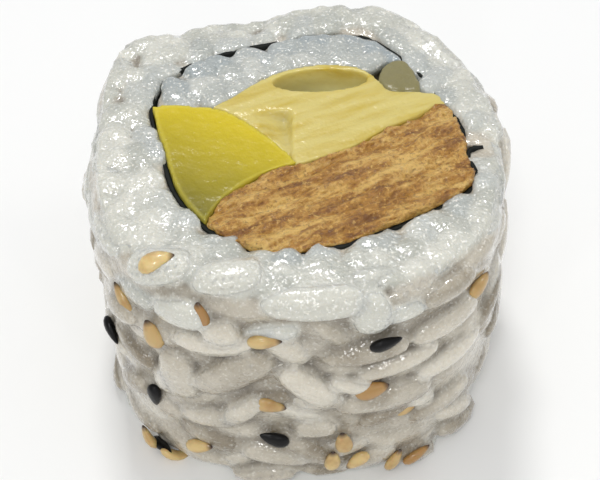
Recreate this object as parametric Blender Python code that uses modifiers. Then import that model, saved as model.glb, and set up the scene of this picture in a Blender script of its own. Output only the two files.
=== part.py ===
"""A cut piece of inside-out sushi roll: rice outside, one sheet of nori inside it, and a filling of fried
tofu, avocado, folded pickled radish and a little more rice.

The piece stands on its lower knife cut. The origin is the centre of its foot, +X is to the right of its
front, +Y points to its back and +Z is up, along the roll. Lengths are in metres.
"""

import math

import bmesh
import bpy
from mathutils import Matrix, Vector, noise

MM = 0.001

# The roll
ROLL_HALF_WIDTH = 18.9 * MM
ROLL_HALF_DEPTH = 20.2 * MM
ROLL_SQUARENESS = 2.6  # exponent of the superellipse that the rolling mat presses the roll into
CUT_HEIGHT = 27.0 * MM  # from knife cut to knife cut
RIM_ROUNDING = 1.8 * MM
GRAIN_LENGTH = 6.8 * MM
GRAIN_WIDTH = 3.0 * MM
GRAIN_RELIEF = 0.55 * MM  # how far the outer grains stand out of the rice between them
GRAIN_SHARE_INSIDE = 0.6  # share of that relief that is cut into the section rather than laid on it
GAP = 0.3 * MM  # air between two neighbouring solids

# How the roll's section strays from the superellipse: azimuth and spread in degrees, rise in metres
SECTION_SWELLS = [
    (150.0, 15.0, 1.3 * MM),
    (139.0, 6.0, 0.9 * MM),
    (131.0, 5.5, -1.3 * MM),
    (108.0, 17.0, -1.6 * MM),
    (66.0, 12.0, 1.2 * MM),
    (37.0, 9.0, -1.1 * MM),
    (4.0, 13.0, 0.6 * MM),
    (-40.0, 14.0, 0.6 * MM),
]
SWELL_AT_FOOT = 0.3  # share of those swells that is left at the foot, where the roll is pressed even
# Where the upper rim sags below the knife cut: azimuth and spread in degrees, drop in metres
RIM_SAGS = [
    (110.0, 19.0, 1.1 * MM),
    (36.0, 9.0, 0.7 * MM),
]
# The roll bellies out low on its right side
BELLY_AZIMUTH = -8.0
BELLY_SPREAD = 38.0
BELLY_HEIGHT = 8.5 * MM
BELLY_REACH = 7.5 * MM
BELLY_RISE = 1.0 * MM

# How finely the rice wall is divided
WALL_SEGMENTS = 96
WALL_LEVELS = 15
RIM_LEVELS = (0.12, 0.45)  # extra edge loops in the rounded rims, as shares of the rounding
CUT_RINGS = 2
CUT_RING_INSET = 0.09  # of the roll's radius, between those rings of the flat cuts

# The nori sheet, from its outer end clockwise round the filling to its inner end
NORI_THICKNESS = 0.4 * MM
NORI_CURL = 0.35 * MM  # how far the wet edges of the sheet stray from the knife cuts
NORI_CURL_PITCH = 1.7 * MM
NORI_LINE = [
    (16.6, -1.8), (15.5, -2.0), (15.2, -3.2), (15.6, -4.8), (15.4, -6.4), (14.3, -7.9), (11.9, -9.6),
    (7.2, -12.2), (2.4, -14.2), (-2.4, -14.9), (-6.3, -12.7), (-8.8, -10.2), (-10.6, -7.0), (-11.7, -2.8),
    (-13.0, 1.6), (-13.3, 4.4), (-12.7, 6.9), (-11.0, 8.9), (-6.7, 11.5), (-2.5, 12.9), (2.8, 14.2),
    (6.3, 14.1), (9.0, 11.9), (11.0, 9.4), (12.4, 6.9), (13.7, 4.0), (14.8, 1.3), (15.1, -0.8),
]

# Outlines of the filling, seen from above, in millimetres
TOFU_OUTLINE = [
    (-7.1, -11.5), (-6.6, -12.9), (-3.0, -15.2), (-0.6, -15.0), (3.4, -13.9), (7.0, -12.3), (9.7, -10.8),
    (12.4, -9.2), (14.8, -7.3), (15.3, -5.2), (14.9, -3.1), (14.8, -1.6), (14.3, 0.2), (14.0, 1.6),
    (13.3, 3.0), (11.0, 1.7), (8.4, 0.1), (4.6, -2.7), (0.8, -4.4), (-1.8, -5.2), (-4.9, -7.5),
    (-6.4, -9.4),
]
AVOCADO_OUTLINE = [
    (-12.9, 2.6), (-12.0, -0.5), (-11.1, -3.8), (-10.1, -7.1), (-8.6, -9.6), (-6.9, -11.4), (-4.0, -9.5),
    (0.2, -5.6), (-0.4, -4.1), (-1.5, -2.4), (-3.9, 0.1), (-6.6, 2.3), (-9.3, 2.9), (-12.2, 2.9),
]
RADISH_OUTLINE = [
    (-7.6, 2.5), (-6.3, 3.9), (-4.4, 5.6), (-2.4, 7.4), (0.0, 8.6), (3.7, 9.1), (6.5, 8.1), (7.9, 6.2),
    (8.5, 5.4), (11.2, 5.2), (13.3, 4.4), (13.4, 3.4), (12.0, 0.5), (6.0, -3.5), (0.4, -5.0), (-2.0, -2.8),
    (-5.0, -0.2),
]
RADISH_END_OUTLINE = [
    (8.2, 4.8), (8.1, 8.0), (8.7, 9.4), (9.6, 9.9), (10.5, 9.3), (11.0, 7.9), (11.3, 6.3), (11.1, 4.8),
]
INNER_RICE_OUTLINE = [
    (-15.0, 2.9), (-15.5, 8.0), (-9.0, 13.5), (0.0, 16.0), (7.0, 16.5), (13.0, 12.5), (12.6, 9.6),
    (11.0, 9.7), (9.7, 10.4), (8.3, 9.8), (7.4, 9.0), (6.6, 7.6), (3.0, 6.5), (-3.0, 4.0), (-7.5, 0.5),
    (-12.0, 0.5),
]

# The loop of the folded radish, open at both cuts, and the crease at the foot of the fold
LOOP_CENTRE = (2.3, 6.75)
LOOP_LENGTH = 8.8 * MM
LOOP_WIDTH = 3.0 * MM
LOOP_DEPTH = 4.0 * MM
LOOP_TURN = 5.0  # degrees from +X
LOOP_LEAN = 14.0  # degrees that the hollow leans to the back as it deepens
CREASE_BACK = (-0.8, 2.4)
CREASE_FRONT = (-0.2, -4.2)
CREASE_DEPTH = 1.3 * MM
CREASE_SLOPE = 24.0  # degrees that its floor leans
CREASE_PITCH = 10.0  # degrees that it runs out towards the front
CREASE_REACH = 6.0 * MM  # how far up and to the left its cutter runs

# The tofu's cut faces stand in ridges along the slab
TOFU_RIDGE_SPACING = 1.05 * MM
TOFU_RIDGE_HEIGHT = 0.55 * MM
TOFU_RIDGE_TURN = 27.0  # degrees from +X
TOFU_CROSS_SPACING = 2.4 * MM
TOFU_LAYER_LENGTH = 9.0 * MM
TOFU_LAYER_WIDTH = 1.5 * MM
TOFU_CRUMB = 1.3 * MM
TOFU_CRUMB_SHARE = 0.4  # of the relief that the crumb gives, on top of the layers

CURVE_STEPS = 3  # straight edges that stand for the curve between two points of an outline
CUT_EDGE = 0.25 * MM  # how far the knife rounds a soft edge
SHARP_ANGLE = 28.0  # degrees past which an edge of the filling is shaded sharp
ROLL_SHARP_ANGLE = 60.0  # the same for the rice wall, whose grains are coarse steps
RADISH_END_EDGE = 0.9 * MM
OVERCUT = 3.0 * MM  # how far a cutter runs past the piece

COLOURS = {
    "outer_rice": (0.74, 0.74, 0.71),
    "nori_sheet": (0.010, 0.015, 0.012),
    "inner_rice": (0.62, 0.67, 0.70),
    "tofu": (0.46, 0.24, 0.08),
    "avocado": (0.62, 0.56, 0.05),
    "radish_fold": (0.74, 0.66, 0.25),
    "radish_end": (0.38, 0.33, 0.14),
}
ROUGHNESS = {"outer_rice": 0.35, "nori_sheet": 0.4, "inner_rice": 0.35, "tofu": 0.45}
SOFT_ROUGHNESS = 0.3


def clear_scene():
    for obj in list(bpy.data.objects):
        bpy.data.objects.remove(obj, do_unlink=True)


def new_collection(name, shown):
    collection = bpy.data.collections.new(name)
    bpy.context.scene.collection.children.link(collection)
    collection.hide_render = not shown
    return collection


def new_material(name):
    material = bpy.data.materials.new(name)
    material.use_nodes = True
    shader = material.node_tree.nodes["Principled BSDF"]
    shader.inputs["Base Color"].default_value = (*COLOURS[name], 1.0)
    shader.inputs["Roughness"].default_value = ROUGHNESS.get(name, SOFT_ROUGHNESS)
    return material


def add_mesh_object(name, mesh, collection):
    obj = bpy.data.objects.new(name, mesh)
    collection.objects.link(obj)
    return obj


def make_cutter(obj):
    obj.hide_render = True
    obj.display_type = "WIRE"
    return obj


def bump(offset, spread):
    """A smooth hill of height 1 at offset 0."""
    return math.exp(-((offset / spread) ** 2))


def turn_between(azimuth, centre):
    """Degrees from centre to azimuth, the short way round."""
    return (azimuth - centre + 180.0) % 360.0 - 180.0


def sum_of_bumps(azimuth, bumps):
    return sum(rise * bump(turn_between(azimuth, centre), spread) for centre, spread, rise in bumps)


def section_radius(azimuth, height):
    """The roll's radius towards an azimuth in degrees at a height, with no grains on it."""
    angle = math.radians(azimuth)
    across = (abs(math.cos(angle)) / ROLL_HALF_WIDTH) ** ROLL_SQUARENESS
    along = (abs(math.sin(angle)) / ROLL_HALF_DEPTH) ** ROLL_SQUARENESS
    pressed = (across + along) ** (-1.0 / ROLL_SQUARENESS)
    share = SWELL_AT_FOOT + (1.0 - SWELL_AT_FOOT) * height / CUT_HEIGHT
    return pressed + share * sum_of_bumps(azimuth, SECTION_SWELLS)


def belly(azimuth, height):
    around = bump(turn_between(azimuth, BELLY_AZIMUTH), BELLY_SPREAD)
    return BELLY_RISE * around * bump(height - BELLY_HEIGHT, BELLY_REACH)


def rim_inset(height):
    """How far the rounded rims draw the wall in at a height."""
    from_cut = min(height, CUT_HEIGHT - height)
    from_centre = min(max(RIM_ROUNDING - from_cut, 0.0), RIM_ROUNDING)
    return RIM_ROUNDING - math.sqrt(RIM_ROUNDING**2 - from_centre**2)


def grain_relief(azimuth, height):
    """Grains that lie round the roll, as the cells of a stretched Voronoi pattern wrapped on a ring."""
    ring = ROLL_HALF_WIDTH / GRAIN_LENGTH
    angle = math.radians(azimuth)
    point = Vector((ring * math.cos(angle), ring * math.sin(angle), height / GRAIN_WIDTH))
    nearest, second = noise.voronoi(point)[0][:2]
    return GRAIN_RELIEF * (min(1.0, 2.0 * (second - nearest)) - GRAIN_SHARE_INSIDE)


def wall_levels():
    """Heights of the wall's edge loops, closer together in the rounded rims."""
    inner = [
        RIM_ROUNDING + (CUT_HEIGHT - 2 * RIM_ROUNDING) * step / WALL_LEVELS
        for step in range(WALL_LEVELS + 1)
    ]
    rim = [RIM_ROUNDING * share for share in RIM_LEVELS]
    return rim + inner + [CUT_HEIGHT - height for height in reversed(rim)]


def shape_roll_point(point):
    """Moves a point of the unit-radius cylinder to its place on the roll."""
    share = math.hypot(point.x, point.y)
    azimuth = math.degrees(math.atan2(point.y, point.x))
    radius = section_radius(azimuth, point.z) + belly(azimuth, point.z) - rim_inset(point.z)
    radius += grain_relief(azimuth, point.z) * share
    sag = sum_of_bumps(azimuth, RIM_SAGS) * share**4 * (point.z / CUT_HEIGHT)
    return Vector((point.x * radius, point.y * radius, point.z - sag))


def build_rice_roll(collection):
    """The whole roll of rice as a lumpy drum, before the nori and the filling are cut out of it."""
    bm = bmesh.new()
    bmesh.ops.create_cone(
        bm, cap_ends=True, segments=WALL_SEGMENTS, radius1=1.0, radius2=1.0, depth=CUT_HEIGHT,
        matrix=Matrix.Translation((0, 0, CUT_HEIGHT / 2)),
    )
    slice_mesh(bm, Vector((0, 0, 1)), wall_levels())
    for ring in range(CUT_RINGS):
        caps = [face for face in bm.faces if len(face.verts) == WALL_SEGMENTS]
        bmesh.ops.inset_individual(bm, faces=caps, thickness=CUT_RING_INSET)
    for vert in bm.verts:
        vert.co = shape_roll_point(vert.co)
    mesh = bpy.data.meshes.new("outer_rice")
    bm.to_mesh(mesh)
    bm.free()
    return add_mesh_object("outer_rice", mesh, collection)


def slice_mesh(bm, normal, distances):
    """Cuts edge loops into a closed mesh where planes across normal pass, and keeps both sides."""
    for distance in distances:
        bmesh.ops.bisect_plane(
            bm, geom=bm.verts[:] + bm.edges[:] + bm.faces[:], dist=1e-7,
            plane_co=normal * distance, plane_no=normal,
        )


def outline_curve(name, outline, closed):
    """A flat curve through an outline's points, given in millimetres."""
    curve = bpy.data.curves.new(name, "CURVE")
    curve.resolution_u = CURVE_STEPS
    spline = curve.splines.new("BEZIER")
    spline.bezier_points.add(len(outline) - 1)
    for point, (x, y) in zip(spline.bezier_points, outline):
        point.co = (x * MM, y * MM, 0.0)
        point.handle_left_type = "AUTO"
        point.handle_right_type = "AUTO"
    spline.use_cyclic_u = closed
    return curve


def mesh_from_curve(name, curve, low, high, collection):
    """The extruded curve as a mesh object that stands from low to high."""
    curve.extrude = (high - low) / 2
    guide = bpy.data.objects.new(name + "_guide", curve)
    collection.objects.link(guide)
    guide.location.z = (low + high) / 2
    bpy.context.view_layer.update()
    graph = bpy.context.evaluated_depsgraph_get()
    mesh = bpy.data.meshes.new_from_object(guide.evaluated_get(graph))
    mesh.transform(guide.matrix_world)
    bpy.data.objects.remove(guide)
    bm = bmesh.new()
    bm.from_mesh(mesh)
    bmesh.ops.remove_doubles(bm, verts=bm.verts, dist=1e-6)
    if any(len(edge.link_faces) == 2 for edge in bm.edges):
        bmesh.ops.recalc_face_normals(bm, faces=bm.faces)
    bm.to_mesh(mesh)
    bm.free()
    return add_mesh_object(name, mesh, collection)


def prism(name, outline, low, high, collection):
    curve = outline_curve(name, outline, closed=True)
    curve.dimensions = "2D"
    curve.fill_mode = "BOTH"
    return mesh_from_curve(name, curve, low, high, collection)


def ribbon(name, outline, closed, thickness, low, high, collection):
    """A standing band of the given thickness along an outline."""
    curve = outline_curve(name, outline, closed)
    obj = mesh_from_curve(name, curve, low, high, collection)
    wall = obj.modifiers.new("wall", "SOLIDIFY")
    wall.thickness = thickness
    wall.offset = 0.0
    wall.use_even_offset = True
    return obj


def cut_away(piece, cutter):
    cut = piece.modifiers.new("cut " + cutter.name, "BOOLEAN")
    cut.operation = "DIFFERENCE"
    cut.object = cutter


def keep_within(piece, cutter):
    keep = piece.modifiers.new("keep " + cutter.name, "BOOLEAN")
    keep.operation = "INTERSECT"
    keep.object = cutter


def apply_modifiers(obj):
    """Replaces the mesh by what its modifiers make of it."""
    bpy.context.view_layer.update()
    graph = bpy.context.evaluated_depsgraph_get()
    mesh = bpy.data.meshes.new_from_object(obj.evaluated_get(graph))
    obj.modifiers.clear()
    obj.data = mesh


def body_cutter(name, outline, cutters):
    """The solid inside an outline, run past both knife cuts."""
    return make_cutter(prism("body_" + name, outline, -OVERCUT, CUT_HEIGHT + OVERCUT, cutters))


def skin_cutter(name, outline, closed, width, cutters):
    """A band of the given width along an outline, run past both knife cuts."""
    band = ribbon("skin_" + name, outline, closed, width, -OVERCUT, CUT_HEIGHT + OVERCUT, cutters)
    return make_cutter(band)


def round_cut_edges(obj, width):
    """Rounds the edges that the knife left, and leaves the creases down the wall alone."""
    bm = bmesh.new()
    bm.from_mesh(obj.data)
    bmesh.ops.dissolve_limit(bm, angle_limit=math.radians(1.0), verts=bm.verts, edges=bm.edges)
    rims = [
        edge for edge in bm.edges
        if not edge.is_boundary and abs(edge.verts[0].co.z - edge.verts[1].co.z) < 1e-6
        and edge.calc_face_angle(0.0) > math.radians(45.0)
    ]
    bmesh.ops.bevel(
        bm, geom=rims, offset=width, segments=2, profile=0.5, affect="EDGES", clamp_overlap=True,
    )
    bm.to_mesh(obj.data)
    bm.free()


def finish_piece(obj, sharp_angle=SHARP_ANGLE):
    obj.data.materials.clear()
    obj.data.materials.append(new_material(obj.name))
    obj.data.shade_smooth()
    obj.data.set_sharp_from_angle(angle=math.radians(sharp_angle))


def build_nori(collection):
    """One sheet wound once round the filling. Its outer end strays into the rice, past its inner end."""
    sheet = ribbon("nori_sheet", NORI_LINE, False, NORI_THICKNESS, 0.0, CUT_HEIGHT, collection)
    apply_modifiers(sheet)
    for vert in sheet.data.vertices:
        place = Vector((vert.co.x, vert.co.y, 0.0)) / NORI_CURL_PITCH
        stray = NORI_CURL * (1.0 + noise.noise(place))
        if vert.co.z > CUT_HEIGHT / 2:
            vert.co.z -= stray
        else:
            vert.co.z += stray
    finish_piece(sheet)
    return sheet


def tofu_ridge(point, along, across):
    """Height of the ridged cut face, from soft layers along the slab and a coarse crumb."""
    layers = noise.noise(Vector((along / TOFU_LAYER_LENGTH, across / TOFU_LAYER_WIDTH, 0.0)))
    crumb = noise.noise(point / TOFU_CRUMB)
    return TOFU_RIDGE_HEIGHT * (layers + TOFU_CRUMB_SHARE * crumb)


def ridge_tofu(tofu):
    """Slices the slab's cut faces along and across, then lifts the slices into ridges."""
    turn = math.radians(TOFU_RIDGE_TURN)
    along_axis = Vector((math.cos(turn), math.sin(turn), 0.0))
    across_axis = Vector((-math.sin(turn), math.cos(turn), 0.0))
    bm = bmesh.new()
    bm.from_mesh(tofu.data)
    for axis, spacing in ((across_axis, TOFU_RIDGE_SPACING), (along_axis, TOFU_CROSS_SPACING)):
        places = [vert.co @ axis for vert in bm.verts]
        first = math.ceil(min(places) / spacing)
        last = math.floor(max(places) / spacing)
        slice_mesh(bm, axis, [spacing * step for step in range(first, last + 1)])
    for vert in bm.verts:
        if vert.co.z > CUT_HEIGHT / 2:
            vert.co.z += tofu_ridge(vert.co, vert.co @ along_axis, vert.co @ across_axis)
    bm.to_mesh(tofu.data)
    bm.free()


def loop_cutter(height, cutters):
    """The hollow that shows in the folded radish at one knife cut."""
    bpy.ops.mesh.primitive_uv_sphere_add(segments=20, ring_count=10, radius=0.5)
    hollow = bpy.context.active_object
    hollow.name = f"loop_at_{round(height / MM)}"
    hollow.dimensions = (LOOP_LENGTH, LOOP_WIDTH, 2 * LOOP_DEPTH)
    lean = LOOP_LEAN if height > CUT_HEIGHT / 2 else -LOOP_LEAN
    hollow.rotation_euler = (math.radians(lean), 0.0, math.radians(LOOP_TURN))
    hollow.location = (LOOP_CENTRE[0] * MM, LOOP_CENTRE[1] * MM, height)
    move_to_collection(hollow, cutters)
    return make_cutter(hollow)


def crease_cutter(cutters):
    """A tilted block whose lower edge carves the crease, with its steep wall on the right."""
    back = Vector((*CREASE_BACK, 0.0)) * MM
    front = Vector((*CREASE_FRONT, 0.0)) * MM
    run = back - front
    bpy.ops.mesh.primitive_cube_add(size=1.0)
    block = bpy.context.active_object
    block.name = "crease"
    block.dimensions = (CREASE_REACH, run.length, CREASE_REACH)
    heading = Matrix.Rotation(math.atan2(run.y, run.x) - math.pi / 2, 4, "Z")
    pitch = Matrix.Rotation(math.radians(-CREASE_PITCH), 4, "X")
    lean = pitch @ Matrix.Rotation(math.radians(CREASE_SLOPE), 4, "Y")
    corner = Matrix.Translation((-CREASE_REACH / 2, -run.length / 2, CREASE_REACH / 2))
    bpy.context.view_layer.update()
    scale = Matrix.Diagonal((*block.scale, 1.0))
    place = Matrix.Translation((back.x, back.y, CUT_HEIGHT - CREASE_DEPTH))
    block.matrix_world = place @ heading @ lean @ corner @ scale
    move_to_collection(block, cutters)
    return make_cutter(block)


def move_to_collection(obj, collection):
    for holder in list(obj.users_collection):
        holder.objects.unlink(obj)
    collection.objects.link(obj)


def main():
    clear_scene()
    pieces = new_collection("inside_out_roll", shown=True)
    cutters = new_collection("cutters", shown=False)

    nori_body = body_cutter("nori", NORI_LINE[1:], cutters)
    nori_skin = skin_cutter("nori", NORI_LINE, False, NORI_THICKNESS + 2 * GAP, cutters)
    build_nori(pieces)

    rice = build_rice_roll(pieces)
    cut_away(rice, nori_body)
    cut_away(rice, nori_skin)
    apply_modifiers(rice)
    finish_piece(rice, ROLL_SHARP_ANGLE)

    # Each piece of filling gives way to those before it in this list
    filling = {
        "tofu": TOFU_OUTLINE,
        "avocado": AVOCADO_OUTLINE,
        "radish_fold": RADISH_OUTLINE,
        "radish_end": RADISH_END_OUTLINE,
        "inner_rice": INNER_RICE_OUTLINE,
    }
    earlier = []
    for name, outline in filling.items():
        piece = prism(name, outline, 0.0, CUT_HEIGHT, pieces)
        keep_within(piece, nori_body)
        for cutter in [nori_skin, *earlier]:
            cut_away(piece, cutter)
        apply_modifiers(piece)
        round_cut_edges(piece, RADISH_END_EDGE if name == "radish_end" else CUT_EDGE)
        earlier.append(body_cutter(name, outline, cutters))
        earlier.append(skin_cutter(name, outline, True, 2 * GAP, cutters))

    radish = pieces.objects["radish_fold"]
    for cutter in (loop_cutter(0.0, cutters), loop_cutter(CUT_HEIGHT, cutters), crease_cutter(cutters)):
        cut_away(radish, cutter)
    apply_modifiers(radish)
    ridge_tofu(pieces.objects["tofu"])
    for name in filling:
        finish_piece(pieces.objects[name])


main()
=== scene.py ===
"""A cut piece of inside-out sushi roll, dressed over its CAD frame.

Grains of cooked rice lie in rows round the wall and show cut on both ends, white and black sesame
is pressed into them, and the nori, tofu, avocado and pickled radish get their own cut faces.
Everything is in metres, with +Z up along the roll and the front towards -Y.
"""

import math
import random

import bpy
import numpy as np
from mathutils import Matrix, Vector
from mathutils.bvhtree import BVHTree


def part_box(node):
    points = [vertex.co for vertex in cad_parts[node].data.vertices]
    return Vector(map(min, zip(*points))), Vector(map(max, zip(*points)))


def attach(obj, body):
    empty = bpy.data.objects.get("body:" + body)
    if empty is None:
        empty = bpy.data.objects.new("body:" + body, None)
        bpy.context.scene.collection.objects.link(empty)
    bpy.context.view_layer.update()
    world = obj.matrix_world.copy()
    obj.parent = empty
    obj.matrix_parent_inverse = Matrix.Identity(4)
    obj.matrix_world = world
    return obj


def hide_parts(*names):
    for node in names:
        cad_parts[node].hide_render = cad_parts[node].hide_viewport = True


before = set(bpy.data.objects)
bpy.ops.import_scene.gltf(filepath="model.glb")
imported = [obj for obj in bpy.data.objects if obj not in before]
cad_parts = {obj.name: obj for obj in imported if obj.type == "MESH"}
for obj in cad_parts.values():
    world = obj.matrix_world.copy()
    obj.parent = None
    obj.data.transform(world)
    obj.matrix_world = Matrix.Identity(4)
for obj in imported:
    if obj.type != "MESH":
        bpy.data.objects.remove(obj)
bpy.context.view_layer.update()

bl_info = {
    "name": "Inside-out roll piece",
    "version": (1, 0, 0),
    "blender": (4, 5, 0),
    "location": "View3D > Sidebar > Roll",
    "description": "Builds a cut piece of inside-out sushi roll over its CAD frame",
    "category": "Add Mesh",
}

MM = 0.001
ROLL_HEIGHT = 27.0 * MM
HALF_HEIGHT = ROLL_HEIGHT / 2
MEAN_RADIUS = 19.5 * MM
# farther from the origin than any point of the roll, for rays that start outside it
OUTSIDE = 0.05
RANDOM_SEED = 11
GRAINS_PER_ROW = 21
SCATTERED_WHITE_SEEDS = 26
SCATTERED_BLACK_SEEDS = 9
# the remesh steps that show each piece's relief and keep it under 200,000 triangles
OUTER_RICE_VOXEL = 0.32 * MM
INNER_RICE_VOXEL = 0.26 * MM
TOFU_VOXEL = 0.24 * MM
AVOCADO_VOXEL = 0.25 * MM
RADISH_VOXEL = 0.25 * MM
RADISH_END_VOXEL = 0.22 * MM
# the directions, about Z, in which the fibres of the tofu and of the radish run
TOFU_TURN = math.radians(27.0)
RADISH_TURN = math.radians(24.0)
SKY_COLOUR = "#fbfcff"
SKY_STRENGTH = 0.58
FLOOR_SHADE = "#f1f1ef"
CAMERA_TARGET = (0.37 * MM, -0.94 * MM, HALF_HEIGHT)
# round lamps aimed at the roll: name, place and width in metres, power in watts
LIGHTS = (
    ("key_light", (-0.03, 0.12, 0.32), 0.065, 0.40),
    ("front_light", (-0.04, -0.19, 0.29), 0.065, 0.24),
    ("low_left_light", (-0.17, -0.29, 0.17), 0.026, 0.06),
    ("low_light", (-0.02, -0.34, 0.15), 0.026, 0.06),
    ("low_right_light", (0.16, -0.28, 0.19), 0.026, 0.05),
    ("side_light", (0.24, 0.04, 0.16), 0.065, 0.06),
)


def linear(hex_colour):
    """An sRGB hex colour as linear RGBA."""
    channels = [int(hex_colour[i : i + 2], 16) / 255 for i in (1, 3, 5)]
    return (*(c / 12.92 if c <= 0.04045 else ((c + 0.055) / 1.055) ** 2.4 for c in channels), 1.0)


# ------------------------------------------------------------------------------------------
# Settings


def length_property(name, description, millimetres):
    return bpy.props.FloatProperty(
        name=name, description=description, default=millimetres * MM, unit="LENGTH", min=0.0
    )


def colour_property(name, description, hex_colour):
    return bpy.props.FloatVectorProperty(
        name=name, description=description, default=linear(hex_colour), size=4, subtype="COLOR",
        min=0.0, max=1.0,
    )


class RollRiceSettings(bpy.types.PropertyGroup):
    grain_length: length_property("Grain length", "Length of a cooked grain", 6.9)
    grain_width: length_property("Grain width", "Width of a cooked grain", 3.0)
    grain_thickness: length_property("Grain thickness", "Thickness of a pressed grain", 2.3)
    row_spacing: length_property("Row spacing", "Height from one row of grains to the next", 2.45)
    bed_depth: length_property("Bed depth", "How far the rice between the grains lies back", 0.55)
    white: colour_property("Cut rice", "Palest rice on the cut ends", "#cfcec3")
    shade: colour_property("Cut rice shade", "Wetter rice on the cut ends", "#b2b3a9")
    wall_white: colour_property("Wall rice", "Palest rice on the wall", "#d8d1c1")
    wall_shade: colour_property("Wall rice shade", "Half-clear rice on the wall", "#8a7f6b")
    # painted shade deep in the creases between the wall's grains
    crease: colour_property("Crease shade", "Painted shade deep in the creases between the grains, where the rice is also half clear", "#5c5343")
    # painted shade where the dark nori shows through the half-clear rice
    stained: colour_property("Nori shade", "Painted shade where the dark nori shows through the rice", "#8d979b")
    # painted highlights: pale specks for the sparkle of the wet rice
    beads: colour_property("Painted sparkle", "Sparkle of the wet rice, painted as pale specks", "#f4f2ea")


class RollSeedSettings(bpy.types.PropertyGroup):
    length: length_property("Seed length", "Length of a sesame seed", 3.0)
    width: length_property("Seed width", "Width of a sesame seed", 1.55)
    thickness: length_property("Seed thickness", "Thickness of a sesame seed", 0.95)
    cream: colour_property("Pale hull", "Palest hull of the white sesame", "#dcc284")
    tan: colour_property("Toasted hull", "Most toasted hull of the white sesame", "#a0743a")
    tip: colour_property("Hull tip", "Dark scar at the seed's tip", "#3a2412")
    black: colour_property("Black hull", "Hull of the black sesame", "#060505")


class RollFillingSettings(bpy.types.PropertyGroup):
    nori: colour_property("Nori", "Roasted seaweed", "#050705")
    nori_shreds: colour_property("Nori shreds", "Greener shreds in the seaweed", "#121812")
    tofu: colour_property("Tofu", "Seasoned fried tofu", "#b6812f")
    tofu_dark: colour_property("Tofu layers", "Darker layers in the tofu", "#7c4c14")
    # painted highlights on the golden crests of the tofu
    tofu_light: colour_property("Tofu highlights", "Painted highlights on the crests of the tofu's layers", "#e6be6c")
    avocado: colour_property("Avocado", "Flesh near the stone", "#c9b410")
    avocado_green: colour_property("Avocado green", "Flesh near the skin", "#6e670d")
    # painted highlight along the avocado's edges
    avocado_rim: colour_property("Avocado edge highlight", "Painted highlight along the wedge's edges", "#d6ca5c")
    radish: colour_property("Radish", "Soft pickled radish", "#cdbd70")
    radish_deep: colour_property("Radish folds", "Thicker, more yellow radish", "#bca334")
    # partly painted shade: darker brown at the left end of the fold's hollow
    radish_brown: colour_property("Radish brown", "Darker brown at the left end of the fold's hollow, partly painted shade", "#857c4e")
    # painted shade: the loose end's dull olive, as it lies in shadow
    radish_end: colour_property("Radish end", "Painted shade: dull olive of the loose end", "#817a50")
    # partly painted shade inside the fold's hollow
    radish_olive: colour_property("Radish olive", "Pale olive inside the fold's hollow, partly painted shade", "#d5cf9c")


class RollStageSettings(bpy.types.PropertyGroup):
    floor_size: bpy.props.FloatProperty(
        name="Floor size", description="Side of the square floor", default=6.0, unit="LENGTH"
    )
    floor: colour_property("Floor", "Matte pale table", "#f4f4f2")
    lens: bpy.props.FloatProperty(
        name="Lens", description="Focal length in millimetres", default=72.0
    )
    camera_elevation: bpy.props.FloatProperty(
        name="Camera elevation", description="Angle above the table", default=math.radians(47.0),
        subtype="ANGLE",
    )
    camera_distance: length_property("Camera distance", "From the camera to its target", 116.5)


# ------------------------------------------------------------------------------------------
# Tools


def deselect_all():
    for obj in bpy.context.selected_objects:
        obj.select_set(False)


def select_only(obj):
    deselect_all()
    obj.select_set(True)
    bpy.context.view_layer.objects.active = obj


def apply_modifier(obj, kind, **settings):
    """Adds a modifier with its settings and applies it."""
    modifier = obj.modifiers.new(kind.lower(), kind)
    for name, value in settings.items():
        setattr(modifier, name, value)
    select_only(obj)
    bpy.ops.object.modifier_apply(modifier=modifier.name)


def solid_of(node):
    """A search tree over a CAD node's surface, for casting rays at it."""
    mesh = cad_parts[node].data
    corners = [vert.co.copy() for vert in mesh.vertices]
    return BVHTree.FromPolygons(corners, [tuple(face.vertices) for face in mesh.polygons])


def copy_node(node, name):
    """A new piece with the mesh of a CAD node, its loose triangles merged."""
    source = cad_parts[node]
    piece = bpy.data.objects.new(name, source.data.copy())
    piece.data.materials.clear()
    bpy.context.scene.collection.objects.link(piece)
    select_only(piece)
    bpy.ops.object.mode_set(mode="EDIT")
    bpy.ops.mesh.select_all(action="SELECT")
    bpy.ops.mesh.remove_doubles(threshold=0.000002)
    bpy.ops.mesh.normals_make_consistent(inside=False)
    bpy.ops.object.mode_set(mode="OBJECT")
    return piece


def resize(piece, value, centre):
    """Scales the whole of a mesh about a point, in edit mode."""
    select_only(piece)
    bpy.ops.object.mode_set(mode="EDIT")
    bpy.ops.mesh.select_all(action="SELECT")
    bpy.ops.transform.resize(value=value, center_override=centre)
    bpy.ops.object.mode_set(mode="OBJECT")


def middle_of(obj):
    points = [vert.co for vert in obj.data.vertices]
    low = Vector([min(p[axis] for p in points) for axis in range(3)])
    high = Vector([max(p[axis] for p in points) for axis in range(3)])
    return (low + high) / 2


def swell(piece, share_x, share_y):
    """Grows a filling sideways until it meets its neighbours."""
    resize(piece, (share_x, share_y, 1.0), middle_of(piece))


def cut_texture(name, kind, size, **settings):
    """A procedural texture for a Displace modifier."""
    texture = bpy.data.textures.new(name, kind)
    texture.noise_scale = size
    for key, value in settings.items():
        setattr(texture, key, value)
    return texture


def grain_guide(turn, stretch):
    """An empty whose turned and stretched axes lay a texture along the fibres of a piece."""
    bpy.ops.object.empty_add(location=(0, 0, 0), rotation=(0, 0, turn))
    guide = bpy.context.active_object
    guide.scale = stretch
    bpy.context.view_layer.update()
    return guide


def wrap(azimuth):
    """An azimuth in degrees, brought to between -180 and 180."""
    return (azimuth + 180.0) % 360.0 - 180.0


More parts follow.
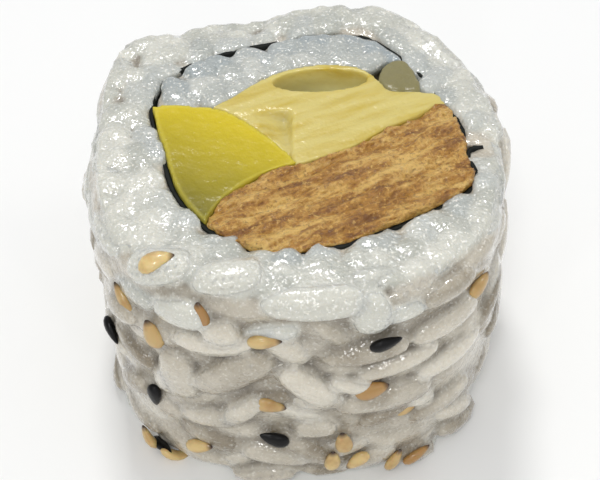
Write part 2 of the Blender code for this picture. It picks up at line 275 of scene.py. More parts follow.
def towards(turn):
    """The level unit vector at a turn, in radians, about the roll's axis."""
    return Vector((math.cos(turn), math.sin(turn), 0.0))


def keep_above_floor(piece, low=0.0):
    for vert in piece.data.vertices:
        vert.co.z = max(vert.co.z, low)


def finish_piece(piece, material, slot, *nodes):
    """Gives a piece its material, rides it on the root body and hides the nodes it stands for; slot
    is not used.
    """
    if not piece.data.polygons:
        raise RuntimeError(f"{piece.name} came out empty")
    piece.data.materials.clear()
    piece.data.materials.append(material)
    piece.data.shade_smooth()
    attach(piece, "root")
    if nodes:
        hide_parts(*nodes)


# ------------------------------------------------------------------------------------------
# The roll's outer surface, measured once on the CAD solid


class Wall:
    """Radius and height of the roll round its axis, smoothed so that grains can lie on it."""

    AZIMUTHS = 72
    HEIGHTS = 9
    LOWEST = 3.5 * MM
    HIGHEST = 23.5 * MM
    RIM = 2.2 * MM

    def __init__(self):
        rice = solid_of("outer_rice")
        rise = self.HIGHEST - self.LOWEST
        self.levels = [
            self.LOWEST + rise * step / (self.HEIGHTS - 1) for step in range(self.HEIGHTS)
        ]
        self.radius = [[self.reach(rice, a, z) for z in self.levels] for a in self.azimuths()]
        self.top = [self.drop(rice, a) for a in self.azimuths()]
        for _ in range(2):
            self.radius = [
                [
                    0.5 * self.radius[i][j]
                    + 0.25 * (self.radius[i - 1][j] + self.radius[(i + 1) % self.AZIMUTHS][j])
                    for j in range(self.HEIGHTS)
                ]
                for i in range(self.AZIMUTHS)
            ]
            self.radius = [
                [0.5 * row[j] + 0.25 * (row[max(j - 1, 0)] + row[min(j + 1, self.HEIGHTS - 1)])
                 for j in range(self.HEIGHTS)]
                for row in self.radius
            ]

    def azimuths(self):
        return [360.0 * step / self.AZIMUTHS for step in range(self.AZIMUTHS)]

    @staticmethod
    def reach(rice, azimuth, height):
        out = towards(math.radians(azimuth))
        place = rice.ray_cast(out * OUTSIDE + Vector((0, 0, height)), -out)[0]
        if place is None:
            raise RuntimeError(f"no rice towards {azimuth} degrees at {height} m")
        return math.hypot(place.x, place.y)

    def drop(self, rice, azimuth):
        """Height of the upper cut just inside the rim."""
        reach = self.reach(rice, azimuth, 23.0 * MM) - self.RIM
        out = towards(math.radians(azimuth))
        place = rice.ray_cast(out * reach + Vector((0, 0, OUTSIDE)), Vector((0, 0, -1)))[0]
        return place.z if place is not None and place.z > 20.0 * MM else ROLL_HEIGHT

    def look_up(self, azimuth, height):
        """Radius and upper height, interpolated."""
        turn = (azimuth % 360.0) / 360.0 * self.AZIMUTHS
        i = int(turn) % self.AZIMUTHS
        k = (i + 1) % self.AZIMUTHS
        share = turn - int(turn)
        step = (height - self.levels[0]) / (self.levels[1] - self.levels[0])
        step = min(max(step, 0.0), self.HEIGHTS - 1.001)
        j = int(step)
        rise = step - j
        near = self.radius[i][j] * (1 - rise) + self.radius[i][j + 1] * rise
        far = self.radius[k][j] * (1 - rise) + self.radius[k][j + 1] * rise
        return near * (1 - share) + far * share, self.top[i] * (1 - share) + self.top[k] * share

    def surface(self, azimuth, path, lift):
        """A point lift above the surface. The path runs up the wall and over both rounded rims."""
        radius, top = self.look_up(azimuth, path)
        bend_top = top - self.RIM
        quarter = self.RIM * math.pi / 2
        if path > bend_top:
            past = path - bend_top
            angle = min(past / self.RIM, math.pi / 2)
            inward = max(past - quarter, 0.0)
            r = radius - self.RIM * (1 - math.cos(angle)) - inward
            z = bend_top + self.RIM * math.sin(angle)
            out, up = math.cos(angle), math.sin(angle)
        elif path < self.RIM:
            past = self.RIM - path
            angle = min(past / self.RIM, math.pi / 2)
            inward = max(past - quarter, 0.0)
            r = radius - self.RIM * (1 - math.cos(angle)) - inward
            z = self.RIM - self.RIM * math.sin(angle)
            out, up = math.cos(angle), -math.sin(angle)
        else:
            r, z, out, up = radius, path, 1.0, 0.0
        turn = math.radians(azimuth)
        r += lift * out
        return Vector((r * math.cos(turn), r * math.sin(turn), z + lift * up))

    def lay(self, mesh, azimuth, path, tilt, lift):
        """Bends a mesh from its own XY plane onto the surface, X along the tilt and Z outwards."""
        radius, _ = self.look_up(azimuth, path)
        cos, sin = math.cos(math.radians(tilt)), math.sin(math.radians(tilt))
        for vert in mesh.vertices:
            x, y, z = vert.co
            along = x * cos - y * sin
            rise = x * sin + y * cos
            vert.co = self.surface(azimuth + math.degrees(along / radius), path + rise, z + lift)


class Channel:
    """The opening in the outer rice that the nori lines, as a radius round the axis."""

    STEPS = 180
    # where rice is smeared over the nori: first and last azimuth, and how far it reaches in (mm)
    SMEARS = [(16, 70, 1.8), (-38, -13, 1.9), (-113, -81, 1.8), (-78, -70, 1.5), (-58, -50, 1.3)]

    def __init__(self):
        rice = solid_of("outer_rice")
        self.radius = []
        for step in range(self.STEPS):
            turn = 2 * math.pi * step / self.STEPS
            place = rice.ray_cast(Vector((0, 0, HALF_HEIGHT)), towards(turn))[0]
            self.radius.append(place.xy.length)

    def look_up(self, azimuth):
        place = (azimuth % 360.0) / 360.0 * self.STEPS
        i = int(place) % self.STEPS
        share = place - int(place)
        return self.radius[i] * (1 - share) + self.radius[(i + 1) % self.STEPS] * share

    def smear(self, azimuth):
        """How far the rice reaches in over the nori, in millimetres."""
        turned = wrap(azimuth)
        reaches = [reach for first, last, reach in self.SMEARS if first < turned < last]
        return max(reaches, default=0.75 if abs(turned) > 125 else 0.5)

    def keep_out(self, mesh):
        """Pushes a mesh out of the channel, apart from the smears, and back inside the wall."""
        for vert in mesh.vertices:
            azimuth = math.degrees(math.atan2(vert.co.y, vert.co.x))
            least = self.look_up(azimuth) - self.smear(azimuth) * MM
            most = WALL.look_up(azimuth, vert.co.z)[0] - 1.3 * MM
            reach = math.hypot(vert.co.x, vert.co.y)
            share = max(least, min(reach, most)) / reach
            vert.co.x *= share
            vert.co.y *= share


def hold_inside(solid, reach):
    """A fence that pushes a mesh back to within reach of a solid's side walls, seen half way up."""

    def fence(mesh):
        for vert in mesh.vertices:
            place = Vector((vert.co.x, vert.co.y, HALF_HEIGHT))
            near, normal, _, _ = solid.find_nearest(place)
            outside = (place - near).dot(normal)
            if outside > reach:
                vert.co.x = near.x + normal.x * reach
                vert.co.y = near.y + normal.y * reach

    return fence


# ------------------------------------------------------------------------------------------
# Grains and seeds


def add_ball(name, segments, rings):
    """A ball with its poles on X, from which a grain or a seed is shaped."""
    deselect_all()
    bpy.ops.mesh.primitive_uv_sphere_add(
        segments=segments, ring_count=rings, radius=0.5, rotation=(0, math.pi / 2, 0)
    )
    ball = bpy.context.active_object
    ball.name = name
    bpy.ops.object.transform_apply(location=False, rotation=True, scale=False)
    return ball


def bring_to_size(obj, size):
    """Scales a mesh in edit mode until its box has this size."""
    extent = obj.dimensions.copy()
    bpy.ops.object.mode_set(mode="EDIT")
    bpy.ops.mesh.select_all(action="SELECT")
    bpy.ops.transform.resize(value=[size[axis] / extent[axis] for axis in range(3)])
    bpy.ops.object.mode_set(mode="OBJECT")


def model_grain(name, segments, rings, size, squareness, bend):
    """One cooked grain, lying along X: an egg that is pressed square, bent a little and pinched."""
    grain = add_ball(name, segments, rings)
    apply_modifier(grain, "CAST", cast_type="CUBOID", factor=squareness)
    apply_modifier(grain, "SIMPLE_DEFORM", deform_method="TAPER", factor=0.14, deform_axis="X")
    apply_modifier(
        grain, "SIMPLE_DEFORM", deform_method="BEND", angle=math.radians(bend), deform_axis="Z"
    )
    bring_to_size(grain, size)
    return grain


def store(mesh, name, values):
    """Keeps one number for every point of a mesh, for a material to read."""
    mesh.attributes.new(name, "FLOAT", "POINT").data.foreach_set("value", values)


def tag_mesh(mesh, tone, stain=0.0, pale=0.0):
    """Stores a copy's own tone, how much painted nori shade it takes and whether it takes the paler
    cut colours.
    """
    for name, value in (("tone", tone), ("stain", stain), ("pale", pale)):
        store(mesh, name, [value] * len(mesh.vertices))


def join_meshes(name, meshes):
    """Sets every mesh in the scene as an object and joins them into one piece."""
    deselect_all()
    for index, mesh in enumerate(meshes):
        obj = bpy.data.objects.new(f"{name}_{index}", mesh)
        bpy.context.scene.collection.objects.link(obj)
        obj.select_set(True)
        if index == 0:
            bpy.context.view_layer.objects.active = obj
    bpy.ops.object.join()
    piece = bpy.context.active_object
    piece.name = name
    return piece


def remove(*objects):
    for obj in objects:
        bpy.data.objects.remove(obj, do_unlink=True)


def scaled_copy(model, size):
    mesh = model.data.copy()
    mesh.transform(Matrix.Diagonal((*size, 1.0)))
    return mesh


# Grains that stand out on the front: azimuth, height (mm), tilt (degrees), length, width, rise (mm)
FRONT_GRAINS = [
    (-91.9, 25.2, 2, 9.0, 3.0, 0.55),
    (-107.9, 14.6, 40, 8.6, 3.6, 0.35),
    (-108.8, 21.0, 16, 3.4, 3.0, 0.30),
    (-92.1, 16.0, -46, 6.6, 3.1, 0.40),
    (-78.3, 18.7, 8, 7.6, 2.2, 0.35),
    (-70.1, 16.2, 15, 8.0, 1.9, 0.20),
    (-80.0, 15.2, -20, 4.4, 1.9, 0.15),
    (-74.5, 11.8, 4, 9.2, 3.1, 0.45),
    (-70.2, 9.2, 28, 5.2, 2.3, 0.20),
    (-57.3, 19.3, 10, 7.4, 2.6, 0.30),
    (-138.0, 18.2, 20, 4.4, 2.8, 0.30),
    (-120.5, 22.4, 4, 5.2, 3.0, 0.35),
    (-123.2, 16.4, -86, 6.0, 3.9, 0.30),
    (-76.2, 25.6, -80, 4.6, 3.4, 0.30),
    (-70.2, 23.1, 6, 5.6, 2.3, 0.15),
    (-57.6, 23.6, 10, 6.4, 2.5, 0.20),
    (-55.5, 14.1, 12, 8.2, 2.4, 0.20),
    (-56.0, 7.9, 8, 7.4, 2.6, 0.20),
    (-115.8, 8.6, 12, 6.2, 2.6, 0.10),
    (-100.0, 4.3, -6, 7.0, 2.8, 0.25),
    (-137.9, 7.4, 35, 5.6, 2.6, 0.10),
    (-122.0, 12.0, 55, 5.0, 2.8, 0.10),
    (-87.4, 8.0, 10, 4.2, 2.8, 0.00),
    (-104.7, 9.9, 48, 6.0, 2.4, 0.15),
    (-36.9, 15.8, 20, 7.6, 2.6, 0.15),
    (-110.5, 26.8, 14, 6.6, 3.6, 0.40),
    (-126.5, 25.6, 30, 6.4, 3.6, 0.35),
]

# White sesame on the front: azimuth, height (mm), angle from round end to tip, tone from 0 pale
# to 1 toasted, rise (mm)
FRONT_WHITE_SEEDS = [
    (-124.5, 27.6, 40, 0.15, 0.72),
    (-134.8, 21.1, 135, 0.50, -0.10),
    (-124.8, 19.5, 109, 0.55, 0.15),
    (-111.8, 24.1, 99, 0.95, -0.10),
    (-97.1, 21.8, 8, 0.35, 0.10),
    (-84.8, 15.2, -28, 0.70, 0.10),
    (-71.7, 14.9, 14, 0.85, 0.30),
    (-96.3, 12.8, -17, 0.55, -0.05),
    (-114.9, 5.2, 20, 0.25, 0.30),
    (-131.7, 1.9, 114, 0.25, 0.40),
    (-124.5, 0.3, -52, 0.20, 0.40),
    (-78.0, 7.5, 97, 0.40, 0.35),
    (-80.6, 4.6, 89, 0.20, 0.35),
    (-74.2, 4.0, -130, 0.25, 0.30),
    (-64.0, 2.6, 70, 0.45, 0.10),
    (-58.0, 2.4, 25, 0.90, 0.30),
    (-42.0, 22.0, 10, 0.60, -0.15),
    (-61.0, 10.2, 30, 0.45, -0.45),
]

# Black sesame on the front: azimuth, height (mm), angle, rise (mm)
FRONT_BLACK_SEEDS = [
    (-69.2, 21.0, 14, 0.35),
    (-95.4, 8.2, 152, 0.35),
    (-127.3, 9.9, -88, 0.05),
    (-144.1, 13.5, -35, 0.20),
    (-128.5, 0.8, 20, 0.15),
]


def clear_of_front_grains(azimuth, path):
    """True where no front grain lies so near, measured on the wall, that a grain would hide it."""
    radius = 19.0 * MM
    for middle, height, _, length, width, _ in FRONT_GRAINS:
        across = math.radians(wrap(azimuth - middle)) * radius
        if math.hypot(across, path - height * MM) < (0.22 * length + 0.32 * width) * MM:
            return False
    return True


def wall_grain_places(rng, rice):
    """Rows of grains round the wall and over both rims, thinned where a front grain lies."""
    places = []
    rows = int((ROLL_HEIGHT + 3.0 * MM) / rice.row_spacing) + 1
    for row in range(rows):
        for step in range(GRAINS_PER_ROW):
            along = step + 0.5 * (row % 2) + rng.uniform(-0.25, 0.25)
            azimuth = 360.0 * along / GRAINS_PER_ROW
            path = -1.5 * MM + row * rice.row_spacing + rng.uniform(-0.8, 0.8) * MM
            size = (rng.uniform(0.82, 1.15), rng.uniform(0.88, 1.12), rng.uniform(0.9, 1.1))
            tilt = rng.gauss(8.0, 24.0)
            rise = max(min(rng.gauss(-0.05, 0.3), 0.4), -0.7) * MM
            if path > ROLL_HEIGHT - 3.5 * MM:
                rise = 0.5 * rise - 0.15 * MM
            place = (azimuth, path, tilt, size, rise, rng.random(), rng.randrange(3))
            if clear_of_front_grains(azimuth, path):
                places.append(place)
    return places


def paleness(azimuth, path):
    """1 for the grains over the rims, which take the paler cut colours, partly as painted light on
    the rounded rims; the border climbs at the right of the front.
    """
    climb = 3.2 * MM if -66 < wrap(azimuth) < 20 else 0.0
    return 1.0 if path > 22.3 * MM + climb or path < 0.5 * MM else 0.0


def wall_grains(rng, rice):
    """The grains of the wall, as meshes with their tone, painted nori shade and paleness beside
    them.
    """
    size = (rice.grain_length, rice.grain_width, rice.grain_thickness)
    models = [
        model_grain("grain_plump", 10, 9, size, 0.34, 12),
        model_grain("grain_long", 10, 9, size, 0.28, -16),
        model_grain("grain_blunt", 10, 9, size, 0.42, 6),
    ]
    grains = []
    for azimuth, path, tilt, scale, rise, tone, which in wall_grain_places(rng, rice):
        mesh = scaled_copy(models[which], scale)
        pitch = Matrix.Rotation(math.radians(rng.gauss(0, 4)), 4, "Y")
        roll = Matrix.Rotation(math.radians(rng.gauss(-6, 9)), 4, "X")
        mesh.transform(pitch @ roll)
        WALL.lay(mesh, azimuth, path, tilt, rise - 0.5 * rice.grain_thickness)
        grains.append((mesh, tone, 0.0, paleness(azimuth, path)))
    near = model_grain("grain_near", 18, 16, (MM, MM, MM), 0.30, 8)
    for azimuth, height, tilt, length, width, rise in FRONT_GRAINS:
        mesh = scaled_copy(near, (length, width, rice.grain_thickness / MM))
        mesh.transform(Matrix.Rotation(math.radians(rng.gauss(0, 4)), 4, "X"))
        WALL.lay(mesh, azimuth, height * MM, tilt, (rise + 0.25) * MM - 0.5 * rice.grain_thickness)
        pale = paleness(azimuth, height * MM)
        # painted light: a pale front grain takes tone 0, the whitest, as the rounded rim would be
        # lit
        grains.append((mesh, rng.random() * (1.0 - pale), 0.0, pale))
    remove(near, *models)
    return grains


def cut_face_places(rng, node, top, spacing):
    """Points of a jittered lattice that fall on a node's cut face."""
    solid = solid_of(node)
    low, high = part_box(node)
    start = OUTSIDE if top else -OUTSIDE
    places = []
    row = 0
    y = low[1]
    while y < high[1]:
        x = low[0] + (0.5 * spacing if row % 2 else 0.0)
        while x < high[0]:
            px = x + rng.uniform(-0.35, 0.35) * spacing
            py = y + rng.uniform(-0.35, 0.35) * spacing
            down = Vector((0, 0, -1 if top else 1))
            place, normal, _, _ = solid.ray_cast(Vector((px, py, start)), down)
            if place is not None and abs(normal.z) > 0.85:
                places.append(place)
            x += spacing
        y += spacing * 0.87
        row += 1
    return places


def cut_grains(rng, node, spacing, stain_of, fence):
    """Grains that the knife has cut through, all but flush with both ends of a node."""
    model = model_grain("grain_cut", 12, 10, (MM, MM, MM), 0.45, 5)
    grains = []
    for top in (True, False):
        for place in cut_face_places(rng, node, top, spacing):
            mesh = scaled_copy(model, (rng.uniform(2.4, 5.6), rng.uniform(2.2, 3.0), 1.5))
            lean = Matrix.Rotation(math.radians(rng.gauss(0, 5)), 4, "X")
            turn = Matrix.Rotation(rng.uniform(0, math.pi), 4, "Z")
            sunk = (0.56 + abs(rng.gauss(0, 0.16))) * MM
            height = place.z - sunk if top else place.z + sunk
            mesh.transform(Matrix.Translation((place.x, place.y, height)) @ turn @ lean)
            fence(mesh)
            grains.append((mesh, rng.random(), stain_of(place), 1.0))
    remove(model)
    return grains


def fuse(name, bed, grains, voxel, rounds):
    """Joins the bed and its grains, which starch has stuck together, into one closed mass.

    Every point of the mass takes the tone and painted nori shade of the grain that it came from.
    """
    meshes = [bed.data.copy()] + [grain[0] for grain in grains]
    values = [(0.5, 0.0, 0.0)] + [grain[1:] for grain in grains]
    corners, faces, owners = [], [], []
    for index, mesh in enumerate(meshes):
        start = len(corners)
        corners.extend(vert.co.copy() for vert in mesh.vertices)
        faces.extend(tuple(start + i for i in face.vertices) for face in mesh.polygons)
        owners.extend([index] * len(mesh.polygons))
    search = BVHTree.FromPolygons(corners, faces)
    piece = join_meshes(name, meshes)
    remove(bed)
    apply_modifier(piece, "REMESH", mode="VOXEL", voxel_size=voxel)
    apply_modifier(piece, "SMOOTH", factor=0.5, iterations=rounds)
    keep_above_floor(piece)
    note_cavities(piece.data, 14, 0.35 * MM)
    found = [values[owners[search.find_nearest(vert.co)[2]]] for vert in piece.data.vertices]
    for attribute, numbers in zip(("tone", "stain", "pale"), zip(*found)):
        store(piece.data, attribute, soften(piece.data, numbers))
    return piece


def loose_grains(name, grains):
    """Sets the grains in one piece of their own, standing a little out of the starch round them."""
    meshes = []
    for mesh, tone, stain, pale in grains:
        copy = mesh.copy()
        tag_mesh(copy, tone, stain, pale)
        meshes.append(copy)
    piece = join_meshes(name, meshes)
    keep_above_floor(piece)
    return piece


def note_cavities(mesh, rounds, full):
    """Stores how deep each point lies in a crease, towards 1, or stands out, towards 0."""
    count = len(mesh.vertices)
    places = np.empty(count * 3)
    mesh.vertices.foreach_get("co", places)
    places = places.reshape(-1, 3)
    normals = np.array([tuple(vert.normal) for vert in mesh.vertices])
    ends = np.empty(len(mesh.edges) * 2, dtype=np.int64)
    mesh.edges.foreach_get("vertices", ends)
    one, other = ends[0::2], ends[1::2]
    sharers = np.bincount(ends, minlength=count)[:, None]
    smooth = places.copy()
    for _ in range(rounds):
        total = np.empty_like(smooth)
        for axis in range(3):
            total[:, axis] = np.bincount(one, smooth[other, axis], count)
            total[:, axis] += np.bincount(other, smooth[one, axis], count)
        smooth = total / sharers
    depth = ((smooth - places) * normals).sum(axis=1) / full
    store(mesh, "cavity", np.clip(0.5 + 0.5 * depth, 0, 1))


def note_edges(piece, node):
    """Stores how far each point lies from a filling's own sides, in millimetres up to 3."""
    solid = solid_of(node)
    values = []
    for vert in piece.data.vertices:
        place = Vector((vert.co.x, vert.co.y, HALF_HEIGHT))
        near, normal, _, _ = solid.find_nearest(place)
        inside = (near - place).dot(normal)
        values.append(min(max(inside / MM, 0.0), 3.0))
    store(piece.data, "edge", values)


def soften(mesh, numbers):
    """Averages a value with its neighbours', once along every edge."""
    totals = list(numbers)
    counts = [1] * len(numbers)
    for edge in mesh.edges:
        one, other = edge.vertices
        totals[one] += numbers[other]
        totals[other] += numbers[one]
        counts[one] += 1
        counts[other] += 1
    return [total / count for total, count in zip(totals, counts)]


def rice_bed(node, name, share, recess):
    """The core of a rice node: its copy, drawn in sideways by a share and recessed at the cuts."""
    bed = copy_node(node, name)
    resize(bed, (share, share, 1.0 - recess / ROLL_HEIGHT), (0, 0, HALF_HEIGHT))
    return bed


def nori_stain(least, most, reach):
    """A measure of the painted shade where the dark nori shows through the rice, from most at the
    sheet to least.
    """
    nori = solid_of("nori_sheet")

    def stain_of(place):
        gap = nori.find_nearest(Vector((place.x, place.y, HALF_HEIGHT)))[3]
        return least + (most - least) * max(0.0, 1.0 - gap / reach)

    return stain_of


class ROLL_OT_outer_rice(bpy.types.Operator):
    """Builds the outer ring of rice from grains, in rows on the wall and cut at both ends"""

    bl_idname = "roll.outer_rice"
    bl_label = "Outer rice"

    def execute(self, context):
        rice = context.scene.roll_rice
        rng = random.Random(RANDOM_SEED)
        bed = rice_bed("outer_rice", "outer_bed", 1.0 - rice.bed_depth / MEAN_RADIUS, 1.0 * MM)
        # painted shade of the nori showing through the rice near the sheet
        stain_of = nori_stain(0.0, 0.6, 2.0 * MM)
        on_wall = wall_grains(rng, rice)
        grains = on_wall + cut_grains(rng, "outer_rice", 2.1 * MM, stain_of, CHANNEL.keep_out)
        proud = loose_grains("wall_grains", on_wall)
        material = rice_material("cooked_rice", rice)
        finish_piece(proud, material, "outer_rice")
        piece = fuse("outer_rice_mass", bed, grains, OUTER_RICE_VOXEL, 2)
        finish_piece(piece, material, "outer_rice", "outer_rice")
        return {"FINISHED"}


class ROLL_OT_inner_rice(bpy.types.Operator):
    """Builds the band of rice between the nori and the filling, in painted nori shade that is
    deepest where it touches the nori
    """

    bl_idname = "roll.inner_rice"
    bl_label = "Inner rice"

    def execute(self, context):
        rice = context.scene.roll_rice
        rng = random.Random(RANDOM_SEED + 2)
        bed = rice_bed("inner_rice", "inner_bed", 1.0, 1.2 * MM)
        # painted shade: the whole band takes some of the nori's shade, most near the sheet
        stain_of = nori_stain(0.3, 1.0, 3.2 * MM)
        fence = hold_inside(solid_of("inner_rice"), 0.25 * MM)
        grains = cut_grains(rng, "inner_rice", 2.0 * MM, stain_of, fence)
        piece = fuse("inner_rice_mass", bed, grains, INNER_RICE_VOXEL, 1)
        finish_piece(piece, rice_material("tinted_rice", rice), "inner_rice", "inner_rice")
        return {"FINISHED"}


class ROLL_OT_sesame(bpy.types.Operator):
    """Presses white and black sesame into the wall"""

    bl_idname = "roll.sesame"
    bl_label = "Sesame"

    def execute(self, context):
        seeds = context.scene.roll_seeds
        rng = random.Random(RANDOM_SEED + 3)
        model = model_seed(seeds)
        white = list(FRONT_WHITE_SEEDS)
        black = [(azimuth, height, angle, rng.random(), rise)
                 for azimuth, height, angle, rise in FRONT_BLACK_SEEDS]
        white.extend(scattered_seed(rng) for _ in range(SCATTERED_WHITE_SEEDS))
        black.extend(scattered_seed(rng) for _ in range(SCATTERED_BLACK_SEEDS))
        for name, places, material in (
            ("sesame_white", white, sesame_material("white_sesame", seeds)),
            ("sesame_black", black, black_sesame_material("black_sesame", seeds)),
        ):
            meshes = []
            for azimuth, height, angle, tone, rise in places:
                size = rng.uniform(0.93, 1.06)
                mesh = scaled_copy(model, (size, size * rng.uniform(0.92, 1.08), 1.0))
                mesh.transform(Matrix.Rotation(math.radians(rng.gauss(0, 12)), 4, "X"))
                WALL.lay(mesh, azimuth, height * MM, angle, (rise - 0.12) * MM)
                tag_mesh(mesh, tone)
                meshes.append(mesh)
            piece = join_meshes(name, meshes)
            keep_above_floor(piece)
            finish_piece(piece, material, "outer_rice")
        remove(model)
        return {"FINISHED"}


def scattered_seed(rng):
    """A seed on the sides and the back, where the front's own seeds don't reach."""
    azimuth, height, angle = rng.uniform(2.0, 178.0), rng.uniform(1.5, 23.0), rng.uniform(0, 360)
    return (azimuth, height, angle, rng.random(), rng.uniform(-0.05, 0.35))


def model_seed(seeds):
    """One sesame seed along X, its tip at +X, which stores how far along it each point lies."""
    seed = add_ball("seed", 12, 9)
    apply_modifier(seed, "SIMPLE_DEFORM", deform_method="TAPER", factor=-0.75, deform_axis="X")
    bring_to_size(seed, (seeds.length, seeds.width, seeds.thickness))
    reach = seeds.length / 2
    store(seed.data, "along", [vert.co.x / reach for vert in seed.data.vertices])
    return seed


class ROLL_OT_nori(bpy.types.Operator):
    """Frays the edges of the nori sheet and crinkles it"""

    bl_idname = "roll.nori"
    bl_label = "Nori"

    def execute(self, context):
        filling = context.scene.roll_filling
        nori = copy_node("nori_sheet", "nori")
        bpy.ops.object.mode_set(mode="EDIT")
        bpy.ops.mesh.select_all(action="SELECT")
        bpy.ops.mesh.subdivide(number_cuts=2)
        bpy.ops.object.mode_set(mode="OBJECT")
        torn = nori.vertex_groups.new(name="torn")
        for vert in nori.data.vertices:
            if min(vert.co.z, ROLL_HEIGHT - vert.co.z) < 1.0 * MM:
                torn.add([vert.index], 1.0, "REPLACE")
        fray = cut_texture("nori_fray", "CLOUDS", 0.9 * MM, noise_depth=2)
        apply_modifier(
            nori, "DISPLACE", texture=fray, direction="Z", strength=0.9 * MM, mid_level=0.55,
            vertex_group="torn",
        )
        crinkle = cut_texture("nori_crinkle", "CLOUDS", 2.5 * MM)
        apply_modifier(nori, "DISPLACE", texture=crinkle, strength=0.3 * MM)
        for vert in nori.data.vertices:
            vert.co.z = min(vert.co.z, ROLL_HEIGHT - 0.45 * MM)
        keep_above_floor(nori, 0.3 * MM)
        finish_piece(nori, nori_material("roasted_nori", filling), "nori_sheet", "nori_sheet")
        return {"FINISHED"}


class ROLL_OT_tofu(bpy.types.Operator):
    """Builds the slab of fried tofu, whose cut faces stand in soft fibrous layers"""

    bl_idname = "roll.tofu"
    bl_label = "Tofu"

    def execute(self, context):
        filling = context.scene.roll_filling
        tofu = copy_node("tofu", "tofu_slab")
        swell(tofu, 1.03, 1.035)
        apply_modifier(tofu, "REMESH", mode="VOXEL", voxel_size=TOFU_VOXEL)
        coarse = grain_guide(TOFU_TURN, (4.5, 1.0, 3.0))
        layers = cut_texture("tofu_layers", "CLOUDS", 1.1 * MM, noise_depth=3)
        apply_modifier(
            tofu, "DISPLACE", texture=layers, texture_coords="OBJECT", texture_coords_object=coarse,
            strength=1.5 * MM, mid_level=0.5, direction="Z",
        )
        fine = grain_guide(TOFU_TURN, (2.5, 1.0, 1.0))
        crumb = cut_texture("tofu_crumb", "CLOUDS", 0.5 * MM, noise_depth=2)
        apply_modifier(
            tofu, "DISPLACE", texture=crumb, texture_coords="OBJECT", texture_coords_object=fine,
            strength=0.5 * MM, mid_level=0.5,
        )
        remove(coarse, fine)
        keep_above_floor(tofu)
        finish_piece(tofu, tofu_material("fried_tofu", filling), "tofu", "tofu")
        return {"FINISHED"}


class ROLL_OT_avocado(bpy.types.Operator):
    """Builds the wedge of avocado with a smooth, gently dented cut"""

    bl_idname = "roll.avocado"
    bl_label = "Avocado"

    def execute(self, context):
        filling = context.scene.roll_filling
        avocado = copy_node("avocado", "avocado_wedge")
        swell(avocado, 1.055, 1.05)
        apply_modifier(avocado, "REMESH", mode="VOXEL", voxel_size=AVOCADO_VOXEL)
        dents = cut_texture("avocado_dents", "CLOUDS", 3.5 * MM)
        apply_modifier(avocado, "DISPLACE", texture=dents, strength=0.35 * MM)
        note_edges(avocado, "avocado")
        keep_above_floor(avocado)
        finish_piece(avocado, avocado_material("avocado_flesh", filling), "avocado", "avocado")
        return {"FINISHED"}


class ROLL_OT_radish(bpy.types.Operator):
    """Builds the folded strip of pickled radish and its loose end"""

    bl_idname = "roll.radish"
    bl_label = "Pickled radish"

    def execute(self, context):
        filling = context.scene.roll_filling
        fold = copy_node("radish_fold", "radish_fold_flesh")
        swell(fold, 1.03, 1.035)
        apply_modifier(fold, "REMESH", mode="VOXEL", voxel_size=RADISH_VOXEL)
        apply_modifier(fold, "SMOOTH", factor=0.5, iterations=4)
        guide = grain_guide(RADISH_TURN, (6.0, 1.0, 3.0))
        strands = cut_texture("radish_strands", "CLOUDS", 1.3 * MM, noise_depth=2)
        apply_modifier(
            fold, "DISPLACE", texture=strands, texture_coords="OBJECT", texture_coords_object=guide,
            strength=0.3 * MM,
        )
        remove(guide)
        keep_above_floor(fold)
        strip = radish_material("pickled_radish", filling, filling.radish_olive, 0.0)
        finish_piece(fold, strip, "radish_fold", "radish_fold")
        end = copy_node("radish_end", "radish_end_flesh")
        swell(end, 1.14, 1.1)
        apply_modifier(end, "REMESH", mode="VOXEL", voxel_size=RADISH_END_VOXEL)
        apply_modifier(end, "SMOOTH", factor=0.5, iterations=6)
        dents = cut_texture("radish_end_dents", "CLOUDS", 1.6 * MM)
        apply_modifier(end, "DISPLACE", texture=dents, strength=0.3 * MM)
        keep_above_floor(end)
        # painted shade: the loose end takes its dull olive all over, as it lies in shadow
        dull = radish_material("radish_end", filling, filling.radish_end, 1.0)
        finish_piece(end, dull, "radish_end", "radish_end")
        return {"FINISHED"}


class ROLL_OT_stage(bpy.types.Operator):
    """Sets the pale table, the soft light and the camera"""

    bl_idname = "roll.stage"
    bl_label = "Stage"

    def execute(self, context):
        scene = context.scene
        stage = scene.roll_stage
        deselect_all()
        bpy.ops.mesh.primitive_plane_add(size=stage.floor_size)
        floor = context.active_object
        floor.name = "table"
        floor.data.materials.append(table_material("matte_table", stage))

        world = bpy.data.worlds.new("studio")
        world.use_nodes = True
        sky = world.node_tree.nodes["Background"]
        sky.inputs["Color"].default_value = linear(SKY_COLOUR)
        sky.inputs["Strength"].default_value = SKY_STRENGTH
        scene.world = world

        for name, place, size, power in LIGHTS:
            lamp = bpy.data.lights.new(name, "AREA")
            lamp.shape = "DISK"
            lamp.size = size
            lamp.energy = power
            light = bpy.data.objects.new(name, lamp)
            scene.collection.objects.link(light)
            light.location = place
            aim = Vector((0, 0, HALF_HEIGHT)) - light.location
            light.rotation_euler = aim.to_track_quat("-Z", "Y").to_euler()

        camera_data = bpy.data.cameras.new("camera")
        camera_data.lens = stage.lens
        camera_data.sensor_width = 36.0
        camera_data.clip_start = 0.005
        camera = bpy.data.objects.new("camera", camera_data)
        scene.collection.objects.link(camera)
        back = Vector((0, -math.cos(stage.camera_elevation), math.sin(stage.camera_elevation)))
        camera.location = Vector(CAMERA_TARGET) + back * stage.camera_distance
        camera.rotation_euler = (-back).to_track_quat("-Z", "Y").to_euler()
        scene.camera = camera
        scene.view_settings.view_transform = "Standard"
        return {"FINISHED"}


# ------------------------------------------------------------------------------------------
# Materials


